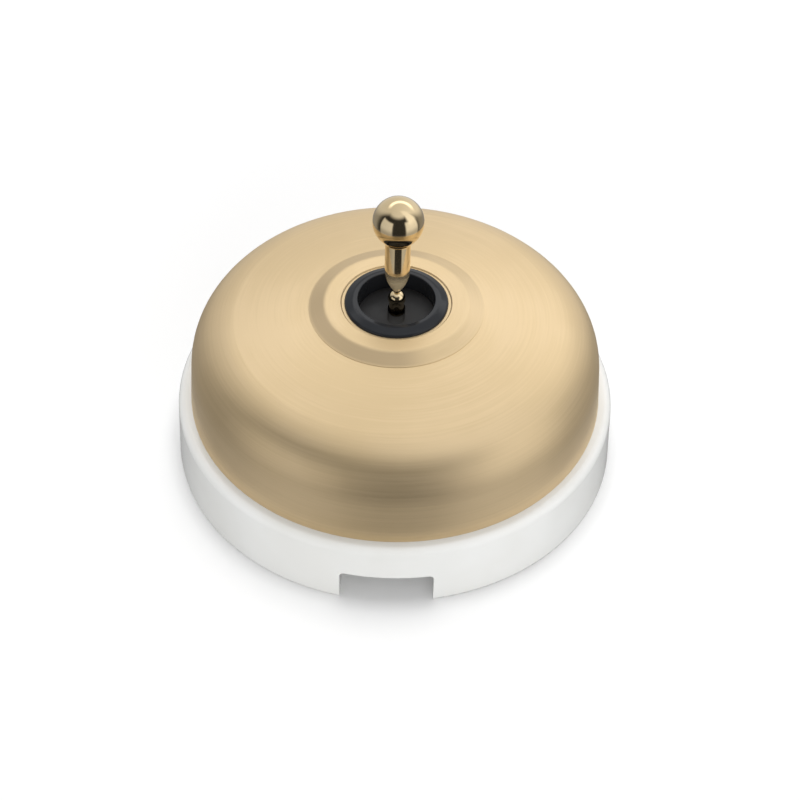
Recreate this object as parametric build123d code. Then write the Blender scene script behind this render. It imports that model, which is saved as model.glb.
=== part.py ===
from build123d import *
from math import cos, radians, sin, sqrt, tan
import os

# Surface-mounted toggle switch. Millimetres, +Z out of the wall, the wall face at Z = 0.
# The cable notch faces -Y. At rest the lever leans towards +Y, in the plane X = 0.

# Porcelain base
base_r = 36.0
base_height = 11.2
base_draft = 0.65
base_foot_round = 0.4
base_rim_round = 1.3
rim_wall = 5.0
recess_depth = 6.0
floor_thick = 3.0
inner_round = 0.8
ledge_width = 2.7
spigot_height = 2.3
spigot_wall = 2.5
spigot_gap = 0.25
notch_width = 14.4
notch_height = 5.5
notch_round = 0.8
pillar_r = 4.4
wall_hole_r = 2.25
wall_head_r = 4.2
wall_head_margin = 0.55
wire_hole_r = 3.6
wire_hole_margin = 1.5

# Brass dome
dome_wall = 0.8
dome_height = 18.35
dome_side_draft = 4.6
crown_r = 116.5
shoulder_r = 9.2
boss_r = 13.75
boss_top_r = 11.2
boss_rise = 1.0
boss_crease = 0.06
boss_round = 1.5
seat_margin = 0.6
seat_depth = 0.2

# Lining under the dome
liner_thick = 0.5
liner_gap = 0.15
liner_hole_margin = 2.0

# Black collar ring
ring_bore_r = 6.05
ring_skirt_wall = 0.9
ring_skirt_gap = 0.2
ring_flange = 1.2
ring_height = 0.7
ring_edge = 0.4
ring_crest = 0.8
ring_outer_round = 0.5
ring_crest_round = 1.0
ring_bore_round = 0.15
ring_hole_gap = 0.15

# Housing of the mechanism
neck_gap = 0.05
neck_wall = 1.0
neck_floor = 0.6
neck_depth = 3.05
housing_half_x = 6.8
housing_half_y = 11.5
housing_wall = 2.0
housing_top = 1.4
housing_round = 1.0
strip_slot_gap = 0.2

# Lever, measured along its own axis from the pivot
lever_lean = 13.0
pivot_below_floor = 5.05
knob_r = 4.0
knob_reach = 20.68
knob_fillet = 0.5
stem_r = 2.0
nose_top = 12.7
nose_low = 8.9
waist_r = 0.6
bead_reach = 7.4
lever_bead_r = 1.4
shank_r = 1.2
shank_start = 1.5
slot_gap = 0.15

# Lever carrier, pin and dust shield
pin_r = 1.0
pin_setback = 0.2
pin_fit = 0.05
press_fit = 0.01
hub_r = 2.3
barrel_r = 2.3
side_gap = 0.3
shield_gap = 0.15
shield_thick = 0.6
shield_half_x = 2.6
shield_half_angle = 62.0

# Plunger and its spring
plunger_r = 1.25
plunger_fit = 0.05
plunger_out = 1.7
plunger_gap = 0.35
plunger_length = 3.9
spring_wire = 0.3
spring_turns = 5.0
spring_gap = 0.05

# Contact plate, strips and contacts
plate_half_x = 13.0
plate_half_y = 19.5
plate_thick = 1.6
plate_round = 3.0
strip_thick = 0.6
contact_r = 1.2
contact_height = 0.5
contact_gap = 0.1
contact_reach = 7.0
strip_inner_x = 1.8
strip_outer_x = 4.4
strip_clear = 0.5
pad_margin = 0.25

# See-saw blade
rocker_angle = 7.0
blade_thick = 0.8
blade_half_x = 1.8
blade_centre_half_x = 3.0
blade_centre_half_y = 1.6
blade_end = 1.5
blade_drop = 0.15
ear_thick = 0.5
ear_length = 0.75
ear_half_y = 1.0
groove_half = 0.45
saddle_half_y = 0.9
saddle_edge = 0.1
saddle_ear_gap = 0.3

# Terminals
terminal_x = 5.4
terminal_y = 5.8
terminal_height = 6.4
terminal_spacing = 8.8
terminal_centre_y = 16.0
terminal_bore_r = 1.5
terminal_bore_height = 2.3
terminal_round = 0.4

# Screws, washers and nuts
screw_r = 1.5
screw_fit = 0.03
terminal_head_r = 2.3
terminal_head_height = 1.4
terminal_screw_lift = 0.4
slot_width = 0.7
slot_depth = 0.7
fixing_x = 9.8
fixing_head_r = 2.75
fixing_head_height = 1.8
fixing_hole_gap = 0.15
fixing_end = 0.4
washer_r = 3.0
washer_thick = 0.5
nut_flats = 5.5
nut_height = 2.4
nut_gap = 0.1
nut_web = 0.6
housing_screw_r = 0.7
housing_head_r = 1.2
housing_head_height = 0.6
housing_screw_length = 6.0

# Places that follow from the sizes above
dome_r = base_r - ledge_width
spigot_r = dome_r - dome_wall - spigot_gap
chamber_r = spigot_r - spigot_wall
floor_z = recess_depth + floor_thick
wall_hole_x = chamber_r - wall_head_r - wall_head_margin
wire_hole_y = -(chamber_r - wire_hole_r - wire_hole_margin)
boss_top_z = base_height + dome_height
boss_foot_z = boss_top_z - boss_rise
ring_skirt_r = ring_bore_r + ring_skirt_wall
ring_r = ring_skirt_r + ring_flange
dome_hole_r = ring_skirt_r + ring_hole_gap
seat_z = boss_top_z - seat_depth
ring_top_z = boss_top_z + ring_height
neck_r = ring_bore_r - neck_gap
neck_top_z = ring_top_z - neck_depth
neck_floor_z = neck_top_z - neck_floor
pivot_z = neck_floor_z - pivot_below_floor
cavity_top_z = pivot_z + hub_r + side_gap
housing_top_z = cavity_top_z + housing_top
cavity_half_x = housing_half_x - housing_wall
cavity_half_y = housing_half_y - housing_wall
plate_top_z = floor_z + plate_thick
strip_top_z = plate_top_z + strip_thick
rocker_z = strip_top_z + 2 * contact_height + contact_gap + blade_drop
blade_top = blade_thick - blade_drop
plunger_reach = (pivot_z - rocker_z - blade_top - plunger_gap) / cos(radians(lever_lean))
barrel_end = plunger_reach - plunger_out
shield_r = pivot_below_floor - shield_gap
terminal_front_x = terminal_spacing / 2
fixing_seat_z = plate_top_z + washer_thick
nut_low_z = recess_depth - nut_height + nut_web
pillar_low_z = nut_low_z - nut_web


def cylinder(radius, low, high, x=0, y=0):
    """Upright cylinder between two heights."""
    seat = (Align.CENTER, Align.CENTER, Align.MIN)
    return Pos(x, y, low) * Cylinder(radius, high - low, align=seat)


def block(x_range, y_range, z_range):
    """Box between three pairs of limits."""
    size = [high - low for low, high in (x_range, y_range, z_range)]
    centre = [(high + low) / 2 for low, high in (x_range, y_range, z_range)]
    return Pos(*centre) * Box(*size)


def cross_cylinder(radius, half_length):
    """Cylinder along X, centred on the origin."""
    return Rot(Y=90) * Cylinder(radius, 2 * half_length)


def polygon(points):
    """Face through the given points."""
    return make_face(Polyline(*points, close=True))


def round_corner(face, point, radius):
    """Face with the corner nearest to a point rounded."""
    corner = face.vertices().sort_by_distance(Vector(*point, 0))[0]
    return fillet(corner, radius)


def turned(face):
    """Solid of revolution about Z, from a face drawn as radius and height."""
    return revolve(Plane.XZ * face, Axis.Z)


def on_lever(shape):
    """Shape drawn along Z from the pivot, moved to the lever at rest."""
    return Pos(0, 0, pivot_z) * Rot(X=-lever_lean) * shape


def on_rocker(shape):
    """Shape drawn on the level see-saw about its pivot, moved to its place at rest."""
    return Pos(0, 0, rocker_z) * Rot(X=rocker_angle) * shape


def base_profile():
    """Section of the porcelain: rim, floor, ledge and locating spigot."""
    rim_top_r = base_r - base_draft
    recess_r = base_r - rim_wall
    spigot_z = base_height + spigot_height
    face = polygon([
        (0, recess_depth), (recess_r, recess_depth), (recess_r, 0), (base_r, 0),
        (rim_top_r, base_height), (spigot_r, base_height), (spigot_r, spigot_z),
        (chamber_r, spigot_z), (chamber_r, floor_z), (0, floor_z),
    ])
    face = round_corner(face, (base_r, 0), base_foot_round)
    face = round_corner(face, (rim_top_r, base_height), base_rim_round)
    face = round_corner(face, (recess_r, recess_depth), inner_round)
    face = round_corner(face, (spigot_r, spigot_z), inner_round)
    return round_corner(face, (chamber_r, floor_z), inner_round)


def cable_notch():
    """Tool that opens the rim towards -Y, rounded at its two upper corners."""
    half = notch_width / 2
    arch = polygon([(-half, -1), (half, -1), (half, notch_height), (-half, notch_height)])
    arch = round_corner(arch, (half, notch_height), notch_round)
    arch = round_corner(arch, (-half, notch_height), notch_round)
    reach = rim_wall + notch_width / 4
    return Pos(0, -base_r + reach, 0) * extrude(Plane.XZ * arch, reach + 1)


def nut_pocket(x):
    """Hexagon pocket for a nut, open downwards."""
    across = nut_flats / 2 + nut_gap
    hexagon = Pos(x, 0, pillar_low_z) * RegularPolygon(across, 6, major_radius=False)
    return extrude(hexagon, nut_web + nut_height + nut_gap)


def make_porcelain_base():
    body = turned(base_profile())
    for side in (-1, 1):
        body += cylinder(pillar_r, 0, recess_depth, side * wall_hole_x)
        body += cylinder(pillar_r, pillar_low_z, recess_depth, side * fixing_x)
    for side in (-1, 1):
        seat_z = floor_z - (wall_head_r - wall_hole_r)
        body -= cylinder(wall_hole_r, 0, floor_z, side * wall_hole_x)
        cone = Cone(wall_hole_r, wall_head_r, wall_head_r - wall_hole_r)
        body -= Pos(side * wall_hole_x, 0, (seat_z + floor_z) / 2) * cone
        body -= cylinder(screw_r + fixing_hole_gap, 0, floor_z, side * fixing_x)
        body -= nut_pocket(side * fixing_x)
    body -= cylinder(wire_hole_r, 0, floor_z, 0, wire_hole_y)
    return body - cable_notch()


def dome_face(inset, low_z):
    """Area under the dome's outline, set in from its outer surface."""
    side_slope = tan(radians(dome_side_draft))
    side_r = dome_r - inset / cos(radians(dome_side_draft))
    low_r = side_r - (low_z - base_height) * side_slope
    high_z = boss_top_z + boss_rise
    high_r = side_r - (high_z - base_height) * side_slope
    crown_centre = boss_foot_z - sqrt(crown_r ** 2 - boss_r ** 2)
    sides = polygon([(0, low_z), (low_r, low_z), (high_r, high_z), (0, high_z)])
    area = sides & Pos(0, crown_centre) * Circle(crown_r - inset)
    crown_edge = (high_r, high_z - boss_rise)
    area = round_corner(area, crown_edge, shoulder_r - inset)
    return area + boss_face(inset)


def boss_face(inset):
    """Raised round boss: a crease at its foot, and a shallow seat for the ring in its top."""
    foot_r = boss_r - inset
    foot_z = boss_foot_z - inset
    top_z = boss_top_z - inset
    top_r = boss_top_r - inset / 2
    seat_r = ring_r + seat_margin
    low_z = top_z - seat_depth
    face = polygon([
        (0, foot_z - 1), (foot_r, foot_z - 1), (foot_r, foot_z + boss_crease),
        (top_r, top_z), (seat_r, top_z), (seat_r - seat_depth, low_z), (0, low_z),
    ])
    return round_corner(face, (top_r, top_z), boss_round)


def make_dome_cover():
    outside = turned(dome_face(0, base_height))
    inside = turned(dome_face(dome_wall, base_height - 1))
    return outside - inside - cylinder(dome_hole_r, boss_foot_z - boss_rise, boss_top_z)


def make_insulating_liner():
    low_z = base_height + spigot_height + spigot_gap
    outer_inset = dome_wall + liner_gap
    outside = turned(dome_face(outer_inset, low_z))
    inside = turned(dome_face(outer_inset + liner_thick, low_z - 1))
    hole = cylinder(dome_hole_r + liner_hole_margin, boss_foot_z - boss_r, boss_top_z)
    return outside - inside - hole


def make_collar_ring():
    skirt_z = housing_top_z + ring_skirt_gap
    edge_z = seat_z + ring_edge
    crest_r = ring_bore_r + ring_crest
    face = polygon([
        (ring_bore_r, skirt_z), (ring_skirt_r, skirt_z), (ring_skirt_r, seat_z),
        (ring_r, seat_z), (ring_r, edge_z), (crest_r, ring_top_z), (ring_bore_r, ring_top_z),
    ])
    face = round_corner(face, (ring_r, edge_z), ring_outer_round)
    face = round_corner(face, (crest_r, ring_top_z), ring_crest_round)
    face = round_corner(face, (ring_bore_r, ring_top_z), ring_bore_round)
    return turned(face)


def lever_slot():
    """Slot in the neck's top, which clears the lever's shank at both ends of the swing."""
    lean = radians(lever_lean)
    half_width = shank_r + slot_gap
    half_length = (neck_top_z - pivot_z) * tan(lean) + shank_r / cos(lean) + slot_gap
    outline = SlotOverall(2 * half_length, 2 * half_width, rotation=90)
    return Pos(0, 0, neck_floor_z) * extrude(outline, neck_floor)


def strip_openings():
    """Low openings in the end walls, where the contact strips leave the housing."""
    height = (plate_top_z, strip_top_z + strip_slot_gap)
    low_x = strip_inner_x - strip_slot_gap
    high_x = strip_outer_x + strip_slot_gap
    front_y = (-housing_half_y, -cavity_half_y)
    rear_y = (cavity_half_y, housing_half_y)
    openings = block((low_x, high_x), front_y, height)
    openings += block((-high_x, -low_x), front_y, height)
    rear_half = contact_r + pad_margin + strip_slot_gap
    return openings + block((-rear_half, rear_half), rear_y, height)


def make_mechanism_housing():
    outer = block((-housing_half_x, housing_half_x), (-housing_half_y, housing_half_y),
                  (plate_top_z, housing_top_z))
    outer = fillet(outer.edges().filter_by(Axis.Z), housing_round)
    outer = fillet(outer.faces().sort_by(Axis.Z)[-1].edges(), housing_round / 2)
    outer += cylinder(neck_r, housing_top_z - housing_top, neck_top_z)
    cavity = block((-cavity_half_x, cavity_half_x), (-cavity_half_y, cavity_half_y),
                   (plate_top_z, cavity_top_z))
    body = outer - cavity - lever_slot()
    body -= cylinder(neck_r - neck_wall, cavity_top_z - 1, neck_floor_z)
    body -= Pos(0, 0, pivot_z) * cross_cylinder(pin_r + press_fit, housing_half_x)
    body -= strip_openings()
    for x, y in housing_screw_places():
        top = plate_top_z + housing_screw_length
        body -= cylinder(housing_screw_r + press_fit, plate_top_z, top, x, y)
    return body


def housing_screw_places():
    """Four places, in the corners of the housing walls."""
    x = housing_half_x - housing_wall / 2
    y = housing_half_y - housing_wall / 2
    return [(side_x * x, side_y * y) for side_x in (-1, 1) for side_y in (-1, 1)]


def make_toggle_lever():
    """One turned piece: ball, stem, tapered nose, waist, bead and shank."""
    nose = TangentArc((stem_r, nose_top), (waist_r, nose_low), tangent=(0, -1))
    outline = [
        Line((0, knob_reach), (stem_r, knob_reach)), Line((stem_r, knob_reach), (stem_r, nose_top)),
        nose, Line((waist_r, nose_low), (0, nose_low)), Line((0, nose_low), (0, knob_reach)),
    ]
    face = make_face(outline)
    half = polygon([(0, 0), (2 * knob_r, 0), (2 * knob_r, 2 * knob_reach), (0, 2 * knob_reach)])
    face += Pos(0, knob_reach) * Circle(knob_r) & half
    seam = knob_reach - sqrt(knob_r ** 2 - stem_r ** 2)
    face = round_corner(face, (stem_r, seam), knob_fillet)
    face += polygon([(0, bead_reach), (waist_r, bead_reach), (waist_r, nose_low), (0, nose_low)])
    face += Pos(0, bead_reach) * Circle(lever_bead_r) & half
    face += polygon([(0, shank_start), (shank_r, shank_start), (shank_r, bead_reach), (0, bead_reach)])
    return on_lever(turned(face))


def make_lever_carrier():
    """Barrel with a cross hub, bored for the pin, the lever and the plunger."""
    top = shield_r - shield_thick
    body = cylinder(barrel_r, 0, top) & cross_cylinder(top, barrel_r)
    body += cylinder(barrel_r, -barrel_end, 0)
    body += cross_cylinder(hub_r, cavity_half_x - side_gap)
    body -= cross_cylinder(pin_r + pin_fit, cavity_half_x)
    body -= cylinder(shank_r + press_fit, shank_start, top)
    body -= cylinder(plunger_r + plunger_fit, -barrel_end, -spring_top())
    return on_lever(body)


def spring_top():
    """How far below the pivot the spring's bore ends."""
    return pin_r + pin_fit + spring_wire + spring_gap


def make_dust_shield():
    """Curved shield about the pivot, wide enough to close the slot at both ends of the swing."""
    tube = cross_cylinder(shield_r, shield_half_x)
    tube -= cross_cylinder(shield_r - shield_thick, shield_half_x)
    edge = 2 * shield_r
    reach = edge * sin(radians(shield_half_angle))
    height = edge * cos(radians(shield_half_angle))
    wedge = extrude(Plane.YZ * polygon([(0, 0), (reach, height), (0, edge), (-reach, height)]),
                    shield_half_x, both=True)
    shield = tube & wedge
    shield -= cylinder(shank_r + press_fit, 0, edge)
    return on_lever(shield)


def make_pivot_pin():
    pin = cross_cylinder(pin_r, housing_half_x - pin_setback)
    pin = chamfer(pin.edges(), pin_setback)
    return Pos(0, 0, pivot_z) * pin


def make_plunger():
    """Round-nosed plunger in the lower end of the barrel."""
    tip = plunger_r - plunger_reach
    body = cylinder(plunger_r, tip, plunger_length - plunger_reach)
    nose = Pos(0, 0, tip) * Sphere(plunger_r)
    return on_lever(body + nose)


def make_plunger_spring():
    top = -spring_top() - spring_gap - spring_wire / 2
    low = plunger_length - plunger_reach + spring_gap + spring_wire / 2
    height = top - low
    coil_r = plunger_r - spring_wire / 2
    path = Helix(height / spring_turns, height, coil_r)
    section = Plane(origin=path @ 0, z_dir=path % 0) * Circle(spring_wire / 2)
    return on_lever(Pos(0, 0, low) * sweep(section, path))


def blade_arm(side):
    """One arm of the see-saw, bent up from the middle."""
    reach = contact_reach + blade_end
    arm = block((-blade_half_x, blade_half_x), (0, reach), (-blade_drop, blade_top))
    arm = fillet(arm.edges().filter_by(Axis.Z).sort_by(Axis.Y)[-2:], blade_half_x / 2)
    arm = Rot(X=rocker_angle) * arm
    if side < 0:
        arm = mirror(arm, Plane.XZ)
    return arm


def make_contact_rocker():
    """See-saw blade with a groove over the knife edge and an ear at each end of it."""
    half_x = blade_centre_half_x
    body = block((-half_x, half_x), (-blade_centre_half_y, blade_centre_half_y),
                 (-blade_drop, blade_top))
    body += blade_arm(1) + blade_arm(-1)
    for side in (-1, 1):
        limits = sorted((side * half_x, side * (half_x - ear_thick)))
        body += block(limits, (-ear_half_y, ear_half_y), (-blade_drop - ear_length, 0))
    apex = contact_gap
    slope = [(-groove_half - apex, -blade_drop), (0, apex), (groove_half + apex, -blade_drop)]
    groove = extrude(Plane.YZ * polygon(slope), half_x - ear_thick, both=True)
    return on_rocker(body - groove)


def make_rocker_contacts():
    pads = []
    for side in (-1, 1):
        pad = cylinder(contact_r, -blade_drop - contact_height, -blade_drop, 0, contact_reach)
        pad = Rot(X=rocker_angle) * pad
        if side < 0:
            pad = mirror(pad, Plane.XZ)
        pads.append(on_rocker(pad))
    return Compound(pads)


def make_fixed_contacts():
    top = strip_top_z + contact_height
    pads = [cylinder(contact_r, strip_top_z, top, 0, side * contact_reach) for side in (-1, 1)]
    return Compound(pads)


def terminal_pad(side):
    """Flat end of a front strip, under its terminal block."""
    centre = side * terminal_front_x
    x_range = (centre - terminal_x / 2, centre + terminal_x / 2)
    y_range = (-terminal_centre_y - terminal_y / 2, -terminal_centre_y + terminal_y / 2)
    return block(x_range, y_range, (plate_top_z, strip_top_z))


def make_common_strip():
    """Strip to the common terminal, with the knife-edge saddle on its inner end."""
    height = (plate_top_z, strip_top_z)
    saddle_x = blade_centre_half_x - ear_thick - saddle_ear_gap
    inner_x = -(contact_r + pad_margin + strip_clear)
    strip = block((-strip_outer_x, saddle_x), (-blade_centre_half_y, blade_centre_half_y), height)
    strip += block((-strip_outer_x, inner_x), (-terminal_centre_y, 0), height)
    strip += terminal_pad(-1)
    ridge = polygon([(-saddle_half_y, strip_top_z), (saddle_half_y, strip_top_z),
                     (saddle_edge, rocker_z), (-saddle_edge, rocker_z)])
    return strip + extrude(Plane.YZ * ridge, saddle_x, both=True)


def make_front_strip():
    height = (plate_top_z, strip_top_z)
    pad = contact_r + pad_margin
    strip = block((-pad, strip_outer_x), (-contact_reach - pad, -contact_reach + pad), height)
    strip += block((strip_inner_x, strip_outer_x), (-terminal_centre_y, -contact_reach), height)
    return strip + terminal_pad(1)


def make_rear_strip():
    height = (plate_top_z, strip_top_z)
    pad = contact_r + pad_margin
    strip = block((-pad, pad), (contact_reach - pad, terminal_centre_y), height)
    end_y = (terminal_centre_y - terminal_y / 2, terminal_centre_y + terminal_y / 2)
    return strip + block((-terminal_x / 2, terminal_x / 2), end_y, height)


def make_contact_plate():
    plate = block((-plate_half_x, plate_half_x), (-plate_half_y, plate_half_y),
                  (floor_z, plate_top_z))
    plate = fillet(plate.edges().filter_by(Axis.Z), plate_round)
    for side in (-1, 1):
        plate -= cylinder(screw_r + fixing_hole_gap, floor_z, plate_top_z, side * fixing_x)
    for x, y in housing_screw_places():
        head_top = floor_z + housing_head_height
        plate -= cylinder(housing_screw_r + press_fit, floor_z, plate_top_z, x, y)
        plate -= cylinder(housing_head_r + press_fit, floor_z, head_top, x, y)
    return plate


def make_terminal(x, y):
    """Brass block with a wire bore along Y and a tapped hole from the top."""
    top = strip_top_z + terminal_height
    bore_z = strip_top_z + terminal_bore_height
    body = block((x - terminal_x / 2, x + terminal_x / 2),
                 (y - terminal_y / 2, y + terminal_y / 2), (strip_top_z, top))
    body = chamfer(body.faces().sort_by(Axis.Z)[-1].edges(), terminal_round)
    body -= Pos(x, y, bore_z) * Rot(X=90) * Cylinder(terminal_bore_r, terminal_y)
    return body - cylinder(screw_r + screw_fit, bore_z, top, x, y)


def slotted_screw(head_r, head_height, shank_r, length):
    """Screw pointing down, the underside of its head at the origin."""
    head = cylinder(head_r, 0, head_height)
    head = fillet(head.faces().sort_by(Axis.Z)[-1].edges(), head_height / 3)
    slot = block((-slot_width / 2, slot_width / 2), (-head_r, head_r),
                 (head_height - slot_depth, head_height))
    return head - slot + cylinder(shank_r, -length, 0)


def make_terminal_screws():
    seat_z = strip_top_z + terminal_height + terminal_screw_lift
    length = seat_z - strip_top_z - terminal_bore_height - terminal_bore_r
    screw = slotted_screw(terminal_head_r, terminal_head_height, screw_r, length)
    places = [(side * terminal_front_x, -terminal_centre_y) for side in (-1, 1)]
    places.append((0, terminal_centre_y))
    return Compound([Pos(x, y, seat_z) * screw for x, y in places])


def make_mechanism_screws():
    length = fixing_seat_z - pillar_low_z - fixing_end
    screw = slotted_screw(fixing_head_r, fixing_head_height, screw_r, length)
    return Compound([Pos(side * fixing_x, 0, fixing_seat_z) * screw for side in (-1, 1)])


def make_screw_washers():
    ring = cylinder(washer_r, plate_top_z, fixing_seat_z)
    ring -= cylinder(screw_r + fixing_hole_gap, plate_top_z, fixing_seat_z)
    return Compound([Pos(side * fixing_x, 0, 0) * ring for side in (-1, 1)])


def make_mechanism_nuts():
    outline = RegularPolygon(nut_flats / 2, 6, major_radius=False)
    nut = extrude(Pos(0, 0, nut_low_z) * outline, nut_height)
    nut -= cylinder(screw_r + screw_fit, nut_low_z, nut_low_z + nut_height)
    return Compound([Pos(side * fixing_x, 0, 0) * nut for side in (-1, 1)])


def make_housing_screws():
    screws = []
    top = plate_top_z + housing_screw_length - housing_head_height
    for x, y in housing_screw_places():
        head = cylinder(housing_head_r, floor_z, floor_z + housing_head_height, x, y)
        screws.append(head + cylinder(housing_screw_r, floor_z, top, x, y))
    return Compound(screws)


nodes = {
    "porcelain_base": make_porcelain_base(),
    "dome_cover": make_dome_cover(),
    "insulating_liner": make_insulating_liner(),
    "collar_ring": make_collar_ring(),
    "mechanism_housing": make_mechanism_housing(),
    "toggle_lever": make_toggle_lever(),
    "lever_carrier": make_lever_carrier(),
    "dust_shield": make_dust_shield(),
    "pivot_pin": make_pivot_pin(),
    "plunger": make_plunger(),
    "plunger_spring": make_plunger_spring(),
    "contact_rocker": make_contact_rocker(),
    "rocker_contacts": make_rocker_contacts(),
    "fixed_contacts": make_fixed_contacts(),
    "common_strip": make_common_strip(),
    "front_strip": make_front_strip(),
    "rear_strip": make_rear_strip(),
    "contact_plate": make_contact_plate(),
    "common_terminal": make_terminal(-terminal_front_x, -terminal_centre_y),
    "front_terminal": make_terminal(terminal_front_x, -terminal_centre_y),
    "rear_terminal": make_terminal(0, terminal_centre_y),
    "terminal_screws": make_terminal_screws(),
    "housing_screws": make_housing_screws(),
    "mechanism_screws": make_mechanism_screws(),
    "screw_washers": make_screw_washers(),
    "mechanism_nuts": make_mechanism_nuts(),
}

os.makedirs("parts", exist_ok=True)
for name, shape in nodes.items():
    export_step(shape, f"parts/{name}.step")
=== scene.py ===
from math import cos, pi, radians, sin

import bpy
from mathutils import Matrix, Vector

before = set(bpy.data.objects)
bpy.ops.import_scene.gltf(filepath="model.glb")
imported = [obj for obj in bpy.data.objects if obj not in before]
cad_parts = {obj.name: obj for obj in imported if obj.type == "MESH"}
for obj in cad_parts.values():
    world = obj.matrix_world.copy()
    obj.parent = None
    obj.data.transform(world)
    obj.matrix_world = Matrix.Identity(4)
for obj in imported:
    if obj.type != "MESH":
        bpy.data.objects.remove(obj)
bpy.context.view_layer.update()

MM = 0.001
DEGREES = 180 / pi
WHITE = (1, 1, 1, 1)

# Camera: where it stands, measured from a point on the axis inside the dome
AIM_HEIGHT = 16.0 * MM
CAMERA_DISTANCE = 259.6 * MM
CAMERA_AZIMUTH = radians(1.4)
CAMERA_ELEVATION = radians(44.4)
CAMERA_ROLL = radians(0.9)
LENS = 72.05
SENSOR = 36.0
CLIP_START = 10.0 * MM
IMAGE_SIDE = 800.0
AIM_PIXEL = (394.9, 363.6)

# Floor: its size and colour, and the glow that only the camera sees, near the switch and far from it
FLOOR_HALF = 3.0
FLOOR_WHITE = 0.9
FLOOR_LIFT = 0.035
FLOOR_LIFT_FAR = 0.45
LIFT_NEAR = 0.05
LIFT_FAR = 0.45

# Light: the world's strength on matt surfaces and to the camera, and two soft lamps
WORLD_DIFFUSE = 0.62
WORLD_WHITE = 1.0
LAMP_AIM = (0, 0, 0.02)
LAMPS = {
    "top_light": {"place": (0.03, 0.13, 0.66), "size": 0.34, "power": 2.15},
    "front_fill": {"place": (0.14, -0.58, 0.16), "size": 0.35, "power": 1.0},
}

# The range that a noise mostly keeps to
NOISE_LOW = 0.3
NOISE_HIGH = 0.7

# Dome: brushed rings per metre across the brushing, fine and broad, and the mottle over them
FINE_RINGS = 9000.0
BROAD_RINGS = 1500.0
BROAD_SCALE = 1.6
DOME_CLOUDS = 45.0
CLOUD_SHARE = 0.6
MOTTLE = (0.38, 0.62)
DOME_PALE = (0.82, 0.64, 0.395, 1.0)
DOME_DEEP = (0.765, 0.59, 0.348, 1.0)
DOME_METALLIC = 0.85
DOME_ANISOTROPIC = 0.2
DOME_ROUGH = (0.41, 0.47)
DOME_ROUGH_BROAD = (-0.02, 0.02)
DOME_BUMP = (0.004 * MM, 0.5)

# Painted shade on the slope of the dome's boss, fainter towards the right and the rear where more light
# falls: millimetres from the axis, how dark, and how much of the painted shade is left towards the right
# and the rear, over parts of the circle's radius
RISER_INNER = 11.3
RISER_OUTER = 13.65
RISER_SOFT = 0.4
RISER_SHADE_DEPTH = 0.64
RISER_SHADE_COLOUR = (0.44, 0.335, 0.21, 1.0)
RISER_SHADE_RIGHT = 0.12
RISER_SHADE_RIGHT_SPAN = (0.05, 0.5)
RISER_SHADE_REAR = 0.4
RISER_SHADE_REAR_SPAN = (-0.2, 0.8)

# Lever: its pivot and axis at rest, and the turned nose, bead and shank, measured from the pivot
LEVER_LEAN = radians(13.0)
LEVER_PIVOT = (0.0, 0.0, 21.55 * MM)
LEVER_AXIS = (0.0, sin(LEVER_LEAN), cos(LEVER_LEAN))
NOSE_TOP = 13.0 * MM
NOSE_SOFT = 2.6 * MM
NOSE_ROUGH = 0.22
NOSE_DULL = 0.5
BEAD_TOP = 8.7 * MM
BEAD_SOFT = 0.4 * MM
SHANK_TOP = 6.8 * MM
LEVER_CLOUDS = 160.0
LEVER_MOTTLE = (0.35, 0.65)
LEVER_DEEP = (0.80, 0.635, 0.385, 1.0)
LEVER_PALE = (0.86, 0.70, 0.45, 1.0)
# Painted shade: the brass shank below SHANK_TOP is coloured dark where it stands down in the dark well
SHANK_SHADE_COLOUR = (0.22, 0.16, 0.10, 1.0)
LEVER_ROUGH = (0.07, 0.11)
TURNING_MARKS = 2500.0
LEVER_BUMP = (0.001 * MM, 0.3)

# Porcelain
GLAZE_CLOUDS = 60.0
GLAZE_DEEP = (0.80, 0.80, 0.775, 1.0)
GLAZE_PALE = (0.84, 0.845, 0.83, 1.0)
GLAZE_ROUGH = (0.10, 0.16)
GLAZE_COAT = 0.15
GLAZE_COAT_ROUGH = 0.05
GLAZE_SUBSURFACE = 0.05
GLAZE_WAVES = 130.0
GLAZE_BUMP = (0.06 * MM, 0.5)

# Black ring
RING_CLOUDS = 300.0
RING_DEEP = (0.014, 0.0155, 0.018, 1.0)
RING_PALE = (0.020, 0.0215, 0.025, 1.0)
RING_ROUGH = (0.06, 0.10)
RING_SPECULAR = 0.22
QUIET_BUMP = (0.01 * MM, 0.4)

# Plain finishes: dark and light colour, metallic, lowest and highest roughness, clouds per metre
PLAIN_FINISHES = {
    "black_matt": ((0.012, 0.012, 0.012, 1), (0.024, 0.024, 0.024, 1), 0.0, (0.45, 0.6), 700.0),
    "housing_black": ((0.015, 0.015, 0.016, 1), (0.020, 0.020, 0.021, 1), 0.0, (0.5, 0.6), 500.0),
    "lining_fibre": ((0.42, 0.36, 0.27, 1), (0.52, 0.46, 0.36, 1), 0.0, (0.75, 0.9), 900.0),
    "stamped_brass": ((0.62, 0.44, 0.20, 1), (0.76, 0.57, 0.29, 1), 1.0, (0.28, 0.42), 350.0),
    "zinc_steel": ((0.50, 0.51, 0.52, 1), (0.66, 0.67, 0.68, 1), 1.0, (0.25, 0.40), 500.0),
    "silver_contact": ((0.78, 0.78, 0.76, 1), (0.90, 0.90, 0.89, 1), 1.0, (0.18, 0.28), 400.0),
}
PLAIN_NODES = {
    "black_matt": ["lever_carrier", "dust_shield", "contact_plate"],
    "housing_black": ["mechanism_housing"],
    "lining_fibre": ["insulating_liner"],
    "stamped_brass": ["contact_rocker", "common_strip", "front_strip", "rear_strip", "common_terminal",
                      "front_terminal", "rear_terminal", "plunger"],
    "zinc_steel": ["pivot_pin", "plunger_spring", "terminal_screws", "housing_screws",
                   "mechanism_screws", "screw_washers", "mechanism_nuts"],
    "silver_contact": ["rocker_contacts", "fixed_contacts"],
}

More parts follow.
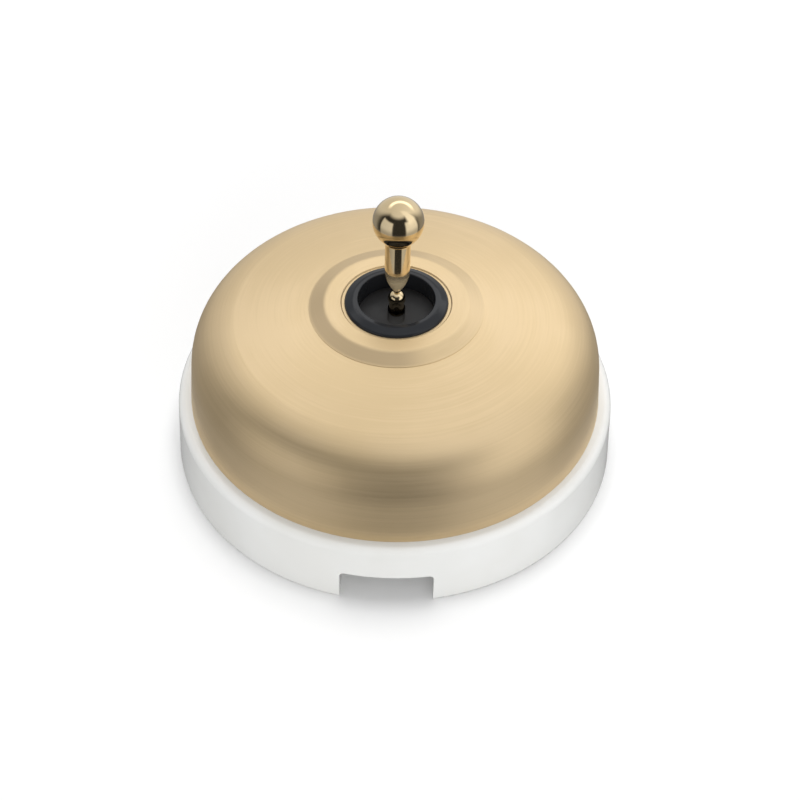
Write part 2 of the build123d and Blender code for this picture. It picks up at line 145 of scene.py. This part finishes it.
# What glossy surfaces see of the studio: brightness levels
STUDIO_MEAN = 0.77
STUDIO_RIGHT = 0.15
STUDIO_BACK = 1.15
STUDIO_RIGHT_BOX = 0.24
STUDIO_LOW = 0.28
STUDIO_DARK = 0.03
STUDIO_SIDE = 0.29

# Where the studio's lights and dark parts are. Edges are pairs between which a level rises or falls,
# spans are a start, an end and a softness, all in degrees. Azimuth goes from -Y towards +X.
SKY_MIDDLE = (0.0, 0.72, 0.69)
SKY_NEARNESS = (0.22, 0.60)
TOP_EDGE = (42, 64)
RIGHT_BOX_AZIMUTH = (50, 94, 10)
RIGHT_BOX_ELEVATION = (12, 80, 14)
LEFT_WINDOW_AZIMUTH = (-78, -24, 4)
LEFT_WINDOW_TOP = (24, 32)
RIGHT_WINDOW_AZIMUTH = (34, 90, 5)
RIGHT_WINDOW_TOP = (24, 36)
WINDOW_FOOT = (-28, 0)
WINDOW_FOOT_LEVEL = 0.5
SIDE_EDGE = (82, 112)
LOW_EDGE = (-40, -22)
GLOW_EDGE = (108, 150)
GLOW_HEIGHT = (36, 50, 5)
GLOW_TILT = 15.0


def new_material(name):
    """Empty node material with a Principled shader, and the shader."""
    material = bpy.data.materials.new(name)
    material.use_nodes = True
    nodes = material.node_tree.nodes
    nodes.clear()
    output = nodes.new("ShaderNodeOutputMaterial")
    shader = nodes.new("ShaderNodeBsdfPrincipled")
    material.node_tree.links.new(shader.outputs["BSDF"], output.inputs["Surface"])
    return material, shader


class Tree:
    """Small helper that adds nodes to one node tree."""

    def __init__(self, tree):
        self.nodes = tree.nodes
        self.links = tree.links

    def add(self, kind, inputs=None, **settings):
        """New node with these settings; an input is a value or the socket that feeds it."""
        node = self.nodes.new(kind)
        for key, value in settings.items():
            setattr(node, key, value)
        for key, value in (inputs or {}).items():
            self.put(node.inputs[key], value)
        return node

    def put(self, socket, value):
        if isinstance(value, bpy.types.NodeSocket):
            self.links.new(value, socket)
        else:
            socket.default_value = value

    def math(self, operation, first, second=0.0, third=0.0):
        node = self.add("ShaderNodeMath", {0: first, 1: second, 2: third}, operation=operation)
        return node.outputs[0]

    def vector(self, operation, first, second=(0, 0, 0)):
        return self.add("ShaderNodeVectorMath", {0: first, 1: second}, operation=operation)

    def ramp(self, value, low, high, to_low=0.0, to_high=1.0):
        """Smooth step from one level to another between two limits."""
        keys = {"Value": value, "From Min": low, "From Max": high, "To Min": to_low, "To Max": to_high}
        node = self.add("ShaderNodeMapRange", keys, interpolation_type="SMOOTHSTEP")
        return node.outputs["Result"]

    def spread(self, noise, to_low=0.0, to_high=1.0):
        """A noise stretched over the range between two levels."""
        return self.ramp(noise, NOISE_LOW, NOISE_HIGH, to_low, to_high)

    def span(self, value, low, high, soft):
        """1 between two limits, falling softly to 0 outside them."""
        rise = self.ramp(value, low - soft, low + soft)
        fall = self.ramp(value, high - soft, high + soft, 1.0, 0.0)
        return self.math("MULTIPLY", rise, fall)

    def place(self):
        """Place on the piece, in its own coordinates."""
        return self.add("ShaderNodeTexCoord").outputs["Object"]

    def noise(self, vector, scale, detail=3.0, roughness=0.5):
        keys = {"Vector": vector, "Scale": scale, "Detail": detail, "Roughness": roughness}
        return self.add("ShaderNodeTexNoise", keys).outputs["Fac"]

    def blend(self, factor, first, second):
        """Colour between two colours."""
        node = self.add("ShaderNodeMix", data_type="RGBA")
        self.put(node.inputs[0], factor)
        self.put(node.inputs[6], first)
        self.put(node.inputs[7], second)
        return node.outputs[2]

    def mix(self, factor, first, second):
        """Number between two numbers."""
        node = self.add("ShaderNodeMix", {0: factor}, data_type="FLOAT")
        self.put(node.inputs[2], first)
        self.put(node.inputs[3], second)
        return node.outputs[0]

    def bump(self, height, distance, strength):
        keys = {"Height": height, "Distance": distance, "Strength": strength}
        return self.add("ShaderNodeBump", keys).outputs["Normal"]


def turned_coordinates(tree, across):
    """Coordinates that run along the circles about Z, fine across them, with no seam."""
    place = tree.place()
    x, y, z = tree.add("ShaderNodeSeparateXYZ", {0: place}).outputs
    squared = tree.math("ADD", tree.math("MULTIPLY", x, x), tree.math("MULTIPLY", y, y))
    radius = tree.math("SQRT", tree.math("ADD", squared, 1e-10))
    run = tree.math("ADD", radius, tree.math("MULTIPLY", z, -1.0))
    keys = {0: tree.math("DIVIDE", x, radius), 1: tree.math("DIVIDE", y, radius),
            2: tree.math("MULTIPLY", run, across)}
    return tree.add("ShaderNodeCombineXYZ", keys).outputs[0], place, radius


def satin_brass():
    """Pale brass, finely brushed along the circles of the spun dome, with painted shade on the slope of
    its boss.
    """
    material, shader = new_material("satin_brass")
    tree = Tree(material.node_tree)
    rings, place, radius = turned_coordinates(tree, FINE_RINGS)
    fine = tree.noise(rings, 1.0, detail=4.0, roughness=0.6)
    broad_rings = turned_coordinates(tree, BROAD_RINGS)[0]
    broad = tree.noise(broad_rings, BROAD_SCALE, detail=2.0)
    cloud = tree.noise(place, DOME_CLOUDS)
    mottle = tree.math("ADD", tree.math("MULTIPLY", cloud, CLOUD_SHARE),
                       tree.math("MULTIPLY", broad, 1 - CLOUD_SHARE))
    colour = tree.blend(tree.ramp(mottle, *MOTTLE), DOME_DEEP, DOME_PALE)

    # Painted shade on the boss's slope, fainter towards the right and the rear
    reach = tree.math("MULTIPLY", radius, 1 / MM)
    riser_shade = tree.span(reach, RISER_INNER, RISER_OUTER, RISER_SOFT)
    riser_shade = tree.math("MULTIPLY", riser_shade, RISER_SHADE_DEPTH)
    around = tree.add("ShaderNodeSeparateXYZ", {0: rings}).outputs
    riser_shade = tree.math("MULTIPLY", riser_shade, tree.ramp(around["X"], *RISER_SHADE_RIGHT_SPAN, 1.0, RISER_SHADE_RIGHT))
    riser_shade = tree.math("MULTIPLY", riser_shade, tree.ramp(around["Y"], *RISER_SHADE_REAR_SPAN, 1.0, RISER_SHADE_REAR))
    tree.put(shader.inputs["Base Color"], tree.blend(riser_shade, colour, RISER_SHADE_COLOUR))

    shader.inputs["Metallic"].default_value = DOME_METALLIC
    shader.inputs["Anisotropic"].default_value = DOME_ANISOTROPIC
    tangent = tree.add("ShaderNodeTangent", direction_type="RADIAL", axis="Z")
    tree.put(shader.inputs["Tangent"], tangent.outputs[0])
    rough = tree.math("ADD", tree.spread(fine, *DOME_ROUGH), tree.spread(broad, *DOME_ROUGH_BROAD))
    tree.put(shader.inputs["Roughness"], rough)
    tree.put(shader.inputs["Normal"], tree.bump(fine, *DOME_BUMP))
    return material


def polished_brass():
    """Turned and polished brass, with a matter nose, painted shade on the shank down in the well, and
    faint turning marks.
    """
    material, shader = new_material("polished_brass")
    tree = Tree(material.node_tree)
    place = tree.place()
    from_pivot = tree.vector("SUBTRACT", place, LEVER_PIVOT).outputs[0]
    reach = tree.vector("DOT_PRODUCT", from_pivot, LEVER_AXIS).outputs["Value"]
    nose = tree.ramp(reach, NOSE_TOP - NOSE_SOFT, NOSE_TOP, 1.0, 0.0)
    nose = tree.math("MULTIPLY", nose, tree.ramp(reach, BEAD_TOP, BEAD_TOP + BEAD_SOFT))
    cloud = tree.noise(place, LEVER_CLOUDS, detail=2.0)
    colour = tree.blend(tree.ramp(cloud, *LEVER_MOTTLE), LEVER_DEEP, LEVER_PALE)
    # Painted shade on the shank down in the well
    shank_shade = tree.ramp(reach, SHANK_TOP - NOSE_SOFT, SHANK_TOP, 1.0, 0.0)
    tree.put(shader.inputs["Base Color"], tree.blend(shank_shade, colour, SHANK_SHADE_COLOUR))
    tree.put(shader.inputs["Metallic"], tree.math("MULTIPLY_ADD", nose, -NOSE_DULL, 1.0))
    rough = tree.math("MULTIPLY_ADD", nose, NOSE_ROUGH, tree.spread(cloud, *LEVER_ROUGH))
    tree.put(shader.inputs["Roughness"], rough)
    marks = tree.noise(place, TURNING_MARKS, detail=2.0)
    tree.put(shader.inputs["Normal"], tree.bump(marks, *LEVER_BUMP))
    return material


def glazed_porcelain():
    """White porcelain under a clear glaze that lies a little unevenly."""
    material, shader = new_material("glazed_porcelain")
    tree = Tree(material.node_tree)
    place = tree.place()
    cloud = tree.noise(place, GLAZE_CLOUDS)
    tree.put(shader.inputs["Base Color"], tree.blend(tree.spread(cloud), GLAZE_DEEP, GLAZE_PALE))
    tree.put(shader.inputs["Roughness"], tree.spread(cloud, *GLAZE_ROUGH))
    shader.inputs["Coat Weight"].default_value = GLAZE_COAT
    shader.inputs["Coat Roughness"].default_value = GLAZE_COAT_ROUGH
    shader.inputs["Subsurface Weight"].default_value = GLAZE_SUBSURFACE
    shader.inputs["Subsurface Radius"].default_value = (MM, MM, MM)
    waves = tree.noise(place, GLAZE_WAVES, detail=2.0)
    tree.put(shader.inputs["Normal"], tree.bump(waves, *GLAZE_BUMP))
    return material


def black_gloss():
    """Glossy black of the moulded ring."""
    material, shader = new_material("black_gloss")
    tree = Tree(material.node_tree)
    cloud = tree.noise(tree.place(), RING_CLOUDS)
    tree.put(shader.inputs["Base Color"], tree.blend(cloud, RING_DEEP, RING_PALE))
    tree.put(shader.inputs["Roughness"], tree.spread(cloud, *RING_ROUGH))
    shader.inputs["Specular IOR Level"].default_value = RING_SPECULAR
    tree.put(shader.inputs["Normal"], tree.bump(cloud, *QUIET_BUMP))
    return material


def plain_finish(name, dark, light, metallic, rough, clouds):
    """Quiet finish: two close colours and a little uneven roughness."""
    material, shader = new_material(name)
    tree = Tree(material.node_tree)
    cloud = tree.noise(tree.place(), clouds, detail=4.0)
    tree.put(shader.inputs["Base Color"], tree.blend(tree.spread(cloud), dark, light))
    shader.inputs["Metallic"].default_value = metallic
    tree.put(shader.inputs["Roughness"], tree.spread(cloud, *rough))
    tree.put(shader.inputs["Normal"], tree.bump(cloud, *QUIET_BUMP))
    return material


def dress(names, material):
    for name in names:
        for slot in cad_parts[name].material_slots:
            slot.material = material


def dress_nodes():
    """Give every CAD node its material."""
    for name, finish in PLAIN_FINISHES.items():
        dress(PLAIN_NODES[name], plain_finish(name, *finish))
    dress(["porcelain_base"], glazed_porcelain())
    dress(["dome_cover"], satin_brass())
    dress(["toggle_lever"], polished_brass())
    dress(["collar_ring"], black_gloss())


def make_floor():
    """Plain white floor, a little lifted for the camera so that it stays white round the shadow.

    Glossy surfaces see the studio's lower half in its place.
    """
    mesh = bpy.data.meshes.new("floor")
    half = FLOOR_HALF
    corners = [(-half, -half, 0), (half, -half, 0), (half, half, 0), (-half, half, 0)]
    mesh.from_pydata(corners, [], [(0, 1, 2, 3)])
    floor = bpy.data.objects.new("floor", mesh)
    bpy.context.collection.objects.link(floor)
    material = bpy.data.materials.new("floor_white")
    material.use_nodes = True
    tree = Tree(material.node_tree)
    tree.nodes.clear()
    output = tree.add("ShaderNodeOutputMaterial")
    white = (FLOOR_WHITE, FLOOR_WHITE, FLOOR_WHITE, 1)
    diffuse = tree.add("ShaderNodeBsdfDiffuse", {"Color": white})
    distance = tree.vector("LENGTH", tree.place()).outputs["Value"]
    level = tree.ramp(distance, LIFT_NEAR, LIFT_FAR, FLOOR_LIFT, FLOOR_LIFT_FAR)
    lift = tree.add("ShaderNodeEmission", {"Color": WHITE, "Strength": level})
    lifted = tree.add("ShaderNodeAddShader")
    tree.links.new(diffuse.outputs[0], lifted.inputs[0])
    tree.links.new(lift.outputs[0], lifted.inputs[1])
    seen = tree.add("ShaderNodeLightPath").outputs["Is Camera Ray"]
    mix = tree.add("ShaderNodeMixShader", {0: seen})
    tree.links.new(diffuse.outputs[0], mix.inputs[1])
    tree.links.new(lifted.outputs[0], mix.inputs[2])
    tree.links.new(mix.outputs[0], output.inputs["Surface"])
    mesh.materials.append(material)
    floor.visible_glossy = False


def studio_level(tree):
    """Brightness that glossy surfaces see in each direction.

    The sky behind and above is bright, with a box light on the right and a brighter glow at the back.
    Towards the camera the studio is dark, with a window low down on each side of the photographer.
    """
    direction = tree.add("ShaderNodeTexCoord").outputs["Generated"]
    x, y, z = tree.add("ShaderNodeSeparateXYZ", {0: direction}).outputs
    elevation = tree.math("MULTIPLY", tree.math("ARCSINE", z), DEGREES)
    azimuth = tree.math("MULTIPLY", tree.math("ARCTAN2", x, tree.math("MULTIPLY", y, -1.0)), DEGREES)
    turn = tree.math("ABSOLUTE", azimuth)

    def window(sides, top):
        return tree.math("MULTIPLY", tree.span(azimuth, *sides), tree.ramp(elevation, *top, 1.0, 0.0))

    nearness = tree.vector("DOT_PRODUCT", direction, SKY_MIDDLE).outputs["Value"]
    sky = tree.ramp(nearness, *SKY_NEARNESS)
    top = tree.ramp(elevation, *TOP_EDGE)
    right_box = tree.math("MULTIPLY", tree.span(azimuth, *RIGHT_BOX_AZIMUTH),
                          tree.span(elevation, *RIGHT_BOX_ELEVATION))
    windows = tree.math("MAXIMUM", window(LEFT_WINDOW_AZIMUTH, LEFT_WINDOW_TOP),
                        window(RIGHT_WINDOW_AZIMUTH, RIGHT_WINDOW_TOP))
    windows = tree.math("MULTIPLY", windows, tree.ramp(elevation, *WINDOW_FOOT, WINDOW_FOOT_LEVEL, 1.0))
    bright = tree.math("MAXIMUM", tree.math("MAXIMUM", sky, top), tree.math("MAXIMUM", right_box, windows))

    dark = tree.math("MAXIMUM", tree.ramp(turn, *SIDE_EDGE, STUDIO_DARK, STUDIO_SIDE),
                     tree.ramp(elevation, *LOW_EDGE, STUDIO_LOW, STUDIO_DARK))
    height = tree.math("MULTIPLY_ADD", x, GLOW_TILT, elevation)
    glow = tree.math("MULTIPLY", tree.ramp(turn, *GLOW_EDGE), tree.span(height, *GLOW_HEIGHT))
    light = tree.math("MULTIPLY_ADD", x, STUDIO_RIGHT, STUDIO_MEAN)
    light = tree.math("MULTIPLY_ADD", glow, STUDIO_BACK, light)
    light = tree.math("MULTIPLY_ADD", right_box, STUDIO_RIGHT_BOX, light)
    return tree.mix(bright, dark, light)


def make_world():
    """White studio light, with the studio's own light and dark sides for glossy surfaces."""
    world = bpy.data.worlds.new("studio")
    bpy.context.scene.world = world
    world.use_nodes = True
    tree = Tree(world.node_tree)
    tree.nodes.clear()
    output = tree.add("ShaderNodeOutputWorld")
    path = tree.add("ShaderNodeLightPath").outputs
    plain = tree.mix(path["Is Camera Ray"], WORLD_DIFFUSE, WORLD_WHITE)
    through = tree.math("MAXIMUM", plain, path["Is Transmission Ray"])
    strength = tree.mix(path["Is Glossy Ray"], through, studio_level(tree))
    background = tree.add("ShaderNodeBackground", {"Color": WHITE, "Strength": strength})
    tree.links.new(background.outputs[0], output.inputs["Surface"])


def area_light(name, place, size, power):
    """Square soft light that points at the switch and isn't seen in reflections."""
    data = bpy.data.lights.new(name, "AREA")
    data.shape = "SQUARE"
    data.size = size
    data.energy = power
    lamp = bpy.data.objects.new(name, data)
    lamp.location = place
    direction = Vector(LAMP_AIM) - Vector(place)
    lamp.rotation_euler = direction.to_track_quat("-Z", "Y").to_euler()
    lamp.visible_glossy = False
    bpy.context.collection.objects.link(lamp)


def make_camera():
    """Camera that puts the aim point on its pixel in a square picture."""
    data = bpy.data.cameras.new("camera")
    data.lens = LENS
    data.sensor_width = SENSOR
    data.clip_start = CLIP_START
    camera = bpy.data.objects.new("camera", data)
    bpy.context.collection.objects.link(camera)
    aim = Vector((0, 0, AIM_HEIGHT))
    away = Vector((sin(CAMERA_AZIMUTH) * cos(CAMERA_ELEVATION),
                   -cos(CAMERA_AZIMUTH) * cos(CAMERA_ELEVATION), sin(CAMERA_ELEVATION)))
    right = Vector((cos(CAMERA_AZIMUTH), sin(CAMERA_AZIMUTH), 0))
    up = away.cross(right)
    facing = Matrix((right, up, away)).transposed()
    focal = LENS / SENSOR * IMAGE_SIDE
    half = IMAGE_SIDE / 2
    aim_ray = Vector(((AIM_PIXEL[0] - half) / focal, (half - AIM_PIXEL[1]) / focal, -1)).normalized()
    swing = aim_ray.rotation_difference(Vector((0, 0, -1))).to_matrix()
    roll = Matrix.Rotation(CAMERA_ROLL, 3, "Z")
    matrix = (facing @ swing @ roll).to_4x4()
    matrix.translation = aim + away * CAMERA_DISTANCE
    camera.matrix_world = matrix
    bpy.context.scene.camera = camera


dress_nodes()
make_floor()
make_world()
for name, lamp in LAMPS.items():
    area_light(name, **lamp)
make_camera()
bpy.context.scene.view_settings.view_transform = "Standard"
